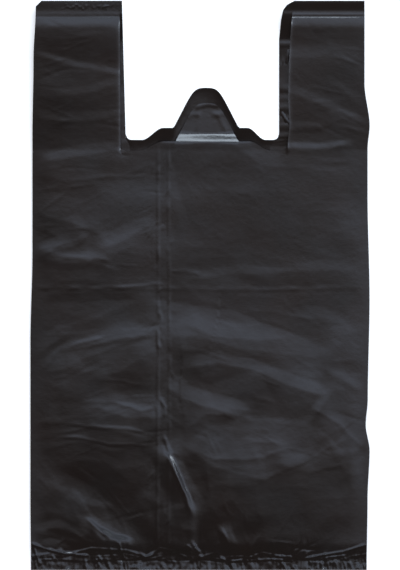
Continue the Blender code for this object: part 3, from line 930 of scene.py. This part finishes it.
    def back_relief(self, x: Grid, y: Grid) -> Grid:
        """Shallow waves of the back panel, its curled lip and the tilt of its right strap.

        The waves are held between the floor and the layer above. The lip curls up towards
        the mouth's edge, most beside the tab's foot.

        Args:
            x: X of each point.
            y: Y of each point.

        Returns:
            The height in metres.
        """
        mm_x, mm_y = x / MM, y / MM
        waves = sum(wave.rise(mm_x, mm_y) for wave in self.back_waves) + self.back_lift
        waves = np.clip(waves, 0.0, self.back_top) * self.seal_run(y)
        folds = sum(fold.rise(mm_x, mm_y) for fold in BACK_STRAP_FOLDS + BACK_STRAP_CREASES)
        mouth = self.plan.back_mouth
        beside = (np.abs(x - mouth.tab_middle) - self.lip_peak) / self.lip_reach
        curl = self.lip_curl * (1.0 + self.lip_gain * np.exp(-(beside**2)))
        curl = curl * np.exp(-np.abs(mouth.top(x) - y) / self.lip_reach)
        between = ease((x - mouth.left) / self.lip_end) * ease((mouth.right - x) / self.lip_end)
        tilt = ease((x - mouth.right + 0.001) / self.tilt_run) * ease((y - 0.118) / 0.02)
        return MM * (waves + folds + self.back_tilt * tilt) + curl * between


class FilmSheet:
    """Meshes of thin film from grids of points on the film's middle surface."""

    @staticmethod
    def normals(middle: Grid) -> Grid:
        """Unit normals of a grid: the cross product of its two directions of travel."""
        along_rows, along_columns = np.gradient(middle, axis=(0, 1), edge_order=2)
        cross = np.cross(along_columns, along_rows)
        return cross / np.linalg.norm(cross, axis=2, keepdims=True)

    @classmethod
    def closed(cls, name: str, middle: Grid, thickness: float) -> bpy.types.Object:
        """A closed sheet: the grid moved out and in by half the thickness, with rims.

        Args:
            name: The piece's name.
            middle: Points of the middle surface, as rows by columns by 3.
            thickness: Thickness of the film.

        Returns:
            The new object, linked into the scene.
        """
        rows, columns = middle.shape[:2]
        offset = cls.normals(middle) * thickness / 2
        points = np.concatenate([(middle + offset).reshape(-1, 3), (middle - offset).reshape(-1, 3)])
        index = np.arange(rows * columns).reshape(rows, columns)
        corners = [index[:-1, :-1], index[:-1, 1:], index[1:, 1:], index[1:, :-1]]
        outer = np.stack(corners, axis=-1).reshape(-1, 4)
        inner = outer[:, ::-1] + rows * columns
        ring = np.concatenate([index[0, :-1], index[:-1, -1], index[-1, :0:-1], index[:0:-1, 0]])
        after = np.roll(ring, -1)
        under = rows * columns
        rim = np.stack([after, ring, ring + under, after + under], axis=-1)
        return cls.mesh(name, points, np.concatenate([outer, inner, rim]))

    @staticmethod
    def mesh(name: str, points: Grid, quads: Grid) -> bpy.types.Object:
        """Puts points and four-sided faces into a new smooth object.

        Args:
            name: The piece's name.
            points: The vertices, as n by 3.
            quads: The faces' vertex numbers, as m by 4.

        Returns:
            The new object, linked into the scene.
        """
        data = bpy.data.meshes.new(name)
        data.vertices.add(len(points))
        data.vertices.foreach_set("co", points.astype(np.float32).ravel())
        data.loops.add(quads.size)
        data.loops.foreach_set("vertex_index", quads.astype(np.int32).ravel())
        data.polygons.add(len(quads))
        data.polygons.foreach_set("loop_start", np.arange(0, quads.size, 4, dtype=np.int32))
        data.update(calc_edges=True)
        data.validate()
        data.shade_smooth()
        data.set_sharp_from_angle(angle=math.radians(60))
        piece = bpy.data.objects.new(name, data)
        bpy.context.scene.collection.objects.link(piece)
        return piece


def spaced(*stretches: tuple[float, float, int]) -> Grid:
    """Shares from 0 to 1 in stretches of their own pitch.

    Args:
        stretches: Start, end and number of steps of each stretch, end to end.

    Returns:
        The shares, with each shared end once.
    """
    parts = [np.linspace(low, high, steps, endpoint=False) for low, high, steps in stretches]
    return np.concatenate([*parts, [stretches[-1][1]]])


@dataclass
class Panel:
    """The front or the back panel, each with its half of both gussets."""

    name: str
    plan: BagPlan
    lay: FilmLay
    outer: Ply
    gusset: Ply
    mouth: Mouth
    fine: float = 1.0
    turn_steps: int = 8
    bottom: float = -HALF_LENGTH
    handle_top: float = 0.2515
    corner: float = 0.0050
    corner_start: float = 0.200
    corner_run: float = 0.050
    weld_rows: int = 34
    middle_rows: int = 316
    side_rows: int = 380
    top_rows: int = 26
    middle_columns: int = 122
    dip_columns: int = 9
    side_columns: int = 74
    fold_columns: int = 12
    gusset_columns: int = 12

    def count(self, number: int) -> int:
        return max(4, round(number * self.fine * (1.0)))

    def middle_strip(self) -> Grid:
        """Points between the handles, from the bottom to the mouth's edge.

        X runs from the left handle's edge to the right one's, closer together in the two
        corners. Y runs from the bottom to the edge at that x.

        Returns:
            The grid of points.
        """
        low, high = self.mouth.left, self.mouth.right
        side = 0.045
        across = spaced(
            (0.0, side, self.count(self.dip_columns)),
            (side, 1.0 - side, self.count(self.middle_columns)),
            (1.0 - side, 1.0, self.count(self.dip_columns)),
        )
        weld = 0.06
        up = spaced((0.0, weld, self.count(self.weld_rows)), (weld, 1.0, self.count(self.middle_rows)))
        x = np.broadcast_to(low + (high - low) * across, (len(up), len(across)))
        y = self.bottom + (self.mouth.top(x) - self.bottom) * up[:, None]
        return np.stack([x, y, self.lay.height(self.outer, x, y)], axis=-1)

    def side_strip(self, side: Side) -> Grid:
        """Points of one handle and the body under it, round the side fold and into the gusset.

        One row is walked from the middle strip's edge to the side fold, through a half
        turn of half the layers' distance, and back to the gusset's inner edge.

        Args:
            side: Which side of the bag.

        Returns:
            The grid of points.
        """
        weld, top_weld, near_fold = 0.045, 0.96, 0.92
        rows = spaced(
            (0.0, weld, self.count(self.weld_rows)),
            (weld, top_weld, self.count(self.side_rows)),
            (top_weld, 1.0, self.count(self.top_rows)),
        )
        y = (self.bottom + (self.handle_top - self.bottom) * rows)[:, None]
        fold = self.plan.side_edge(side, y)
        turn = np.abs(
            self.lay.height(self.outer, fold, y) - self.lay.height(self.gusset, fold, y)
        ) / 2
        seam = self.mouth.left_edge(y) if side is Side.LEFT else self.mouth.right_edge(y)
        ends = fold - side.value * turn
        across = spaced(
            (0.0, near_fold, self.count(self.side_columns)),
            (near_fold, 1.0, self.count(self.fold_columns)),
        )[None, :]
        panel_x = seam + (ends - seam) * across
        panel_y = y - self.corner_cut(panel_x, y, side)
        panel = np.stack([panel_x, panel_y, self.lay.height(self.outer, panel_x, panel_y)], -1)
        inner = self.plan.gusset_edge(side, self.mouth, y)
        back = np.linspace(0.0, 1.0, self.count(self.gusset_columns) + 1)[None, :]
        gusset_x = ends + (inner - ends) * back
        gusset_y = y - self.corner_cut(gusset_x, y, side)
        gusset = np.stack([gusset_x, gusset_y, self.lay.height(self.gusset, gusset_x, gusset_y)], -1)
        angle = np.linspace(0.0, math.pi, self.turn_steps + 1)[None, 1:-1]
        top, low = panel[:, -1:, 2], gusset[:, :1, 2]
        turn_x = ends + side.value * turn * np.sin(angle)
        turn_z = (top + low) / 2 + (top - low) / 2 * np.cos(angle)
        turn_y = np.broadcast_to(panel_y[:, -1:], turn_x.shape)
        around = np.stack([turn_x, turn_y, turn_z], -1)
        strip = np.concatenate([panel, around, gusset], axis=1)
        flip = (side is Side.LEFT) == (self.outer is Ply.FRONT)
        return strip[:, ::-1] if flip else strip

    def corner_cut(self, x: Grid, y: Grid, side: Side) -> Grid:
        """How much lower each point lies for the slanted outer corner of the left handle."""
        if side is Side.RIGHT:
            return np.zeros(x.shape)
        slack = x[-1:] - self.plan.side_edge(side, y[-1:])
        return np.maximum(self.corner - slack, 0.0) * ease((y - self.corner_start) / self.corner_run)

    def build(self) -> list[bpy.types.Object]:
        """Builds the three strips as closed sheets.

        Returns:
            The pieces.
        """
        middle = self.middle_strip()
        if self.outer is Ply.BACK:
            middle = middle[:, ::-1]
        sheets = {
            "middle": middle,
            "left": self.side_strip(Side.LEFT),
            "right": self.side_strip(Side.RIGHT),
        }
        return [
            FilmSheet.closed(f"{self.name}_{place}", grid, self.plan.film)
            for place, grid in sheets.items()
        ]


class Nodes:
    """Short ways to add and join shader nodes."""

    def __init__(self, tree: bpy.types.NodeTree) -> None:
        """Keeps the tree that the nodes go into."""
        self.tree = tree

    def add(self, kind: str, inputs: dict | None = None, **values: str) -> bpy.types.Node:
        """Adds a node and sets its inputs and its plain properties.

        Args:
            kind: The node's type.
            inputs: Values of its inputs, by name or number.
            values: Properties by name.

        Returns:
            The node.
        """
        node = self.tree.nodes.new(kind)
        for key, value in values.items():
            setattr(node, key, value)
        for key, value in (inputs or {}).items():
            node.inputs[key].default_value = value
        return node

    def join(self, start: bpy.types.NodeSocket, end: bpy.types.NodeSocket) -> None:
        """Joins an output to an input."""
        self.tree.links.new(start, end)

    def noise(self, place: bpy.types.NodeSocket, cells: float, detail: float) -> bpy.types.NodeSocket:
        """A noise pattern.

        Args:
            place: The coordinates that it is read at.
            cells: Cells in a metre.
            detail: Octaves.

        Returns:
            The pattern, from 0 to 1.
        """
        inputs = {"Scale": cells, "Detail": detail, "Roughness": 0.55}
        noise = self.add("ShaderNodeTexNoise", inputs)
        self.join(place, noise.inputs["Vector"])
        return noise.outputs["Fac"]


@dataclass(frozen=True)
class Grain:
    """An unevenness of the film's surface that is too fine for the mesh."""

    cells: float
    detail: float
    depth: float
    stretch: tuple[float, float, float] = (1.0, 1.0, 1.0)

    def add(
        self, nodes: Nodes, place: bpy.types.NodeSocket, below: bpy.types.NodeSocket | None
    ) -> bpy.types.NodeSocket:
        """Adds the unevenness on top of a coarser one.

        Args:
            nodes: Where to add it.
            place: The object's own coordinates.
            below: The normals so far, if there are any.

        Returns:
            The new normals.
        """
        mapping = nodes.add("ShaderNodeMapping", {"Scale": self.stretch})
        nodes.join(place, mapping.inputs["Vector"])
        bump = nodes.add("ShaderNodeBump", {"Strength": 1.0, "Distance": self.depth})
        pattern = nodes.noise(mapping.outputs["Vector"], self.cells, self.detail)
        nodes.join(pattern, bump.inputs["Height"])
        if below is not None:
            nodes.join(below, bump.inputs["Normal"])
        return bump.outputs["Normal"]


@dataclass(frozen=True)
class FilmFinish:
    """Black blown film: nearly black, warm in the depths, with a soft uneven gloss."""

    name: str = "black_film"
    warm: tuple[float, float, float] = (0.0098, 0.0050, 0.0038)
    cool: tuple[float, float, float] = (0.0050, 0.0048, 0.0046)
    roughness: float = 0.19
    roughness_swing: float = 0.04
    ior: float = 1.52
    tint_cells: float = 19.0
    gloss_cells: float = 28.0
    die_lines: Grain = Grain(520.0, 2.0, 0.00002, stretch=(1.0, 0.02, 1.0))
    crinkle: Grain = Grain(190.0, 2.0, 0.00007)
    grain: Grain = Grain(900.0, 1.0, 0.00002)

    def make(self) -> bpy.types.Material:
        """Makes the material.

        A slow pattern turns the colour between warm and cool, and another swings the
        roughness. The die's lines run along the bag, with the crinkle and the grain on top.

        Returns:
            The film's material.
        """
        material = bpy.data.materials.new(self.name)
        material.use_nodes = True
        nodes = Nodes(material.node_tree)
        shader = material.node_tree.nodes["Principled BSDF"]
        shader.inputs["IOR"].default_value = self.ior
        shader.inputs["Metallic"].default_value = 0.0
        place = nodes.add("ShaderNodeTexCoord").outputs["Object"]
        shades = {6: (*self.cool, 1.0), 7: (*self.warm, 1.0)}
        tint = nodes.add("ShaderNodeMix", shades, data_type="RGBA")
        nodes.join(nodes.noise(place, self.tint_cells, 2.0), tint.inputs[0])
        nodes.join(tint.outputs[2], shader.inputs["Base Color"])
        limits = {
            "From Min": 0.3,
            "From Max": 0.7,
            "To Min": self.roughness - self.roughness_swing,
            "To Max": self.roughness + self.roughness_swing,
        }
        swing = nodes.add("ShaderNodeMapRange", limits)
        nodes.join(nodes.noise(place, self.gloss_cells, 3.0), swing.inputs["Value"])
        nodes.join(swing.outputs["Result"], shader.inputs["Roughness"])
        normals = None
        for layer in (self.die_lines, self.crinkle, self.grain):
            normals = layer.add(nodes, place, normals)
        nodes.join(normals, shader.inputs["Normal"])
        return material


@dataclass
class CarrierBag:
    """The whole bag: its front and back panels in the film's finish."""

    plan: BagPlan = field(default_factory=BagPlan)
    finish: FilmFinish = field(default_factory=FilmFinish)

    def build(self) -> list[bpy.types.Object]:
        """Builds and dresses every piece of film.

        Returns:
            The pieces.
        """
        lay = FilmLay(self.plan)
        front = Panel(
            "front", self.plan, lay, Ply.FRONT, Ply.GUSSET_FRONT, self.plan.front_mouth, 1.0
        )
        back = Panel(
            "back", self.plan, lay, Ply.BACK, Ply.GUSSET_BACK, self.plan.back_mouth, 0.6
        )
        pieces = front.build() + back.build()
        material = self.finish.make()
        for piece in pieces:
            piece.data.materials.append(material)
            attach(piece, "root")
            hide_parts(NODE)
            log.info("%s: %d faces", piece.name, len(piece.data.polygons))
        return pieces


@dataclass(frozen=True)
class Softbox:
    """A large soft lamp that faces the bag."""

    name: str
    place: tuple[float, float, float]
    size: tuple[float, float]
    power: float
    colour: tuple[float, float, float]

    def hang(self) -> bpy.types.Object:
        """Adds the lamp, turned to face the middle of the bag.

        Returns:
            The lamp.
        """
        data = bpy.data.lights.new(self.name, "AREA")
        data.shape = "RECTANGLE"
        data.size, data.size_y = self.size
        data.energy = self.power
        data.color = self.colour
        lamp = bpy.data.objects.new(self.name, data)
        lamp.location = self.place
        lamp.rotation_euler = (-Vector(self.place)).to_track_quat("-Z", "Y").to_euler()
        bpy.context.scene.collection.objects.link(lamp)
        return lamp


@dataclass
class Studio:
    """The pale floor, the light and the camera."""

    picture: tuple[int, int] = (400, 570)
    pixel: float = 0.000885
    camera_height: float = 9.0
    middle: tuple[float, float] = (0.0, 0.0002)
    sensor: float = 36.0
    floor_half: float = 3.0
    floor_gap: float = 0.0004
    floor_grey: float = 0.8
    floor_lift: float = 0.45
    sky_turn: float = 14.0
    sky_stops: tuple[tuple[float, tuple[float, float, float]], ...] = (
        (-0.45, (0.150, 0.128, 0.116)),
        (-0.15, (0.118, 0.096, 0.086)),
        (0.0, (0.520, 0.490, 0.495)),
        (0.14, (1.14, 1.24, 1.50)),
        (0.22, (1.50, 1.72, 2.18)),
        (0.36, (0.62, 0.70, 0.86)),
        (0.60, (0.42, 0.47, 0.58)),
        (0.90, (0.18, 0.20, 0.23)),
    )
    horizon: tuple[float, float, float] = (0.16, 0.17, 0.18)
    horizon_fade: tuple[float, float] = (0.55, 0.10)
    lamps: tuple[Softbox, ...] = (
        Softbox("window", (0.28, 1.20, 1.30), (1.2, 0.62), 23.0, (0.76, 0.88, 1.0)),
        Softbox("side_window", (0.98, 0.56, 1.40), (0.30, 0.5), 5.0, (0.78, 0.89, 1.0)),
    )

    def rays_that_see_white(self, nodes: Nodes) -> bpy.types.NodeSocket:
        """1 for camera, glossy and transmission rays, else 0."""
        path = nodes.add("ShaderNodeLightPath")
        first = nodes.add("ShaderNodeMath", operation="MAXIMUM")
        nodes.join(path.outputs["Is Camera Ray"], first.inputs[0])
        nodes.join(path.outputs["Is Transmission Ray"], first.inputs[1])
        both = nodes.add("ShaderNodeMath", operation="MAXIMUM")
        nodes.join(first.outputs[0], both.inputs[0])
        nodes.join(path.outputs["Is Glossy Ray"], both.inputs[1])
        return both.outputs[0]

    def floor(self) -> bpy.types.Object:
        """The pale floor, lifted to white for the camera and still holding a shadow.

        Returns:
            The floor.
        """
        corners = np.array([[-1.0, -1.0], [1.0, -1.0], [1.0, 1.0], [-1.0, 1.0]]) * self.floor_half
        points = np.column_stack([corners, np.full(4, -self.floor_gap)])
        floor = FilmSheet.mesh("floor", points, np.array([[0, 1, 2, 3]]))
        material = bpy.data.materials.new("pale_floor")
        material.use_nodes = True
        nodes = Nodes(material.node_tree)
        shader = material.node_tree.nodes["Principled BSDF"]
        shader.inputs["Base Color"].default_value = (*(self.floor_grey,) * 3, 1.0)
        shader.inputs["Roughness"].default_value = 0.9
        shader.inputs["Specular IOR Level"].default_value = 0.0
        shader.inputs["Emission Color"].default_value = (1.0, 1.0, 1.0, 1.0)
        lift = nodes.add("ShaderNodeMath", {1: self.floor_lift}, operation="MULTIPLY")
        nodes.join(self.rays_that_see_white(nodes), lift.inputs[0])
        nodes.join(lift.outputs[0], shader.inputs["Emission Strength"])
        floor.data.materials.append(material)
        return floor

    def sky(self) -> None:
        """A dome that is dark beyond the bottom weld and brightens towards the handles.

        Its colour follows how far a direction leans towards the handles, and a pale ring is
        added near the horizon.
        """
        world = bpy.data.worlds.new("dome")
        world.use_nodes = True
        bpy.context.scene.world = world
        nodes = Nodes(world.node_tree)
        ground = world.node_tree.nodes["Background"]
        place = nodes.add("ShaderNodeTexCoord").outputs["Generated"]
        turn = math.radians(self.sky_turn)
        towards = {1: (math.sin(turn), math.cos(turn), 0.0)}
        lean = nodes.add("ShaderNodeVectorMath", towards, operation="DOT_PRODUCT")
        nodes.join(place, lean.inputs[0])
        shift = nodes.add("ShaderNodeMapRange", {"From Min": -1.0, "From Max": 1.0})
        nodes.join(lean.outputs["Value"], shift.inputs["Value"])
        ramp = nodes.add("ShaderNodeValToRGB")
        nodes.join(shift.outputs["Result"], ramp.inputs["Fac"])
        stops = ramp.color_ramp.elements
        while len(stops) < len(self.sky_stops):
            stops.new(0.5)
        for stop, (height, colour) in zip(stops, self.sky_stops):
            stop.position = (height + 1.0) / 2.0
            stop.color = (*colour, 1.0)
        low = nodes.add("ShaderNodeSeparateXYZ")
        nodes.join(place, low.inputs["Vector"])
        high, level = self.horizon_fade
        ring = nodes.add("ShaderNodeMapRange", {"From Min": high, "From Max": level})
        nodes.join(low.outputs["Z"], ring.inputs["Value"])
        pale = {7: (*self.horizon, 1.0)}
        total = nodes.add("ShaderNodeMix", pale, data_type="RGBA", blend_type="ADD")
        nodes.join(ring.outputs["Result"], total.inputs[0])
        nodes.join(ramp.outputs["Color"], total.inputs[6])
        nodes.join(total.outputs[2], ground.inputs["Color"])

    def camera(self) -> bpy.types.Object:
        """The camera, straight above the bag with the handles at the top of the picture.

        Returns:
            The camera.
        """
        data = bpy.data.cameras.new("camera")
        tall = self.picture[1] * self.pixel
        data.sensor_width = self.sensor
        data.lens = data.sensor_width * self.camera_height / tall
        camera = bpy.data.objects.new("camera", data)
        camera.location = (*self.middle, self.camera_height)
        bpy.context.scene.collection.objects.link(camera)
        bpy.context.scene.camera = camera
        return camera

    def build(self) -> None:
        """Sets up the floor, the sky, the lamps and the camera."""
        self.floor()
        self.sky()
        for lamp in self.lamps:
            lamp.hang()
        self.camera()
        bpy.context.scene.view_settings.view_transform = "Standard"


def main() -> None:
    """Builds the bag and its studio, and logs how many pieces of film there are."""
    logging.basicConfig(level=logging.INFO)
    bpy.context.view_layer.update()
    pieces = CarrierBag().build()
    Studio().build()
    log.info("%d pieces of film", len(pieces))


if __name__ == "__main__":
    main()
